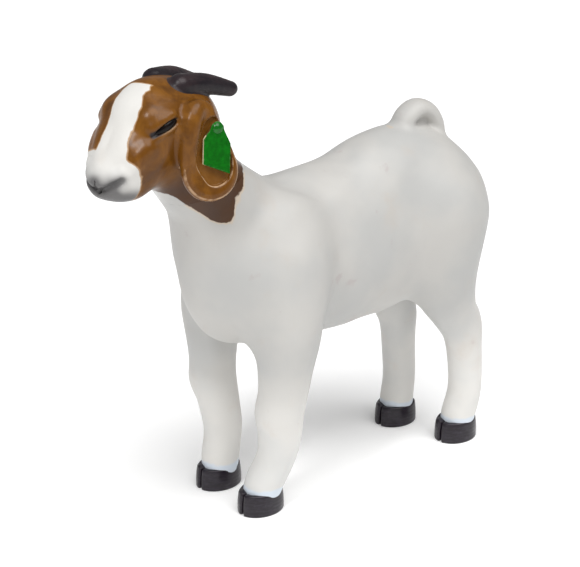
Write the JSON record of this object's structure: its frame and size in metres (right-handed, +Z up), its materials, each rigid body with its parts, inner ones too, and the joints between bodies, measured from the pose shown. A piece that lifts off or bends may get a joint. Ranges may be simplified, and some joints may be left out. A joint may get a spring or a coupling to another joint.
{
  "type": "goat figurine",
  "caption": "Moulded, hand-painted standing goat figurine with drooping ears, swept-back horns and an ear tag, for a shelf or play farm.",
  "frame": {"origin": "on the floor, under the middle of the bounding box", "axes": "+Z up, -Y the way the goat faces, +X its left side"},
  "size_m": [0.0606, 0.152, 0.1496],
  "materials": {
    "white_paint": "satin off-white paint",
    "brown_paint": "glossy brown paint",
    "horn_paint": "semi-gloss brown-black paint",
    "hoof_paint": "semi-gloss black paint",
    "eye_gloss": "high-gloss black",
    "tag_green": "satin green paint"
  },
  "bodies": {
    "root": {"body": "white_paint", "head": "brown_paint", "horn_left": "horn_paint", "horn_right": "horn_paint", "ear_left": "brown_paint", "ear_right": "brown_paint", "ear_tag": "tag_green", "ear_tag_stud": "tag_green", "eye_left": "eye_gloss", "eye_right": "eye_gloss", "tail": "white_paint", "hoof_front_left": "hoof_paint", "hoof_front_right": "hoof_paint", "hoof_hind_left": "hoof_paint", "hoof_hind_right": "hoof_paint"}
  },
  "joints": []
}
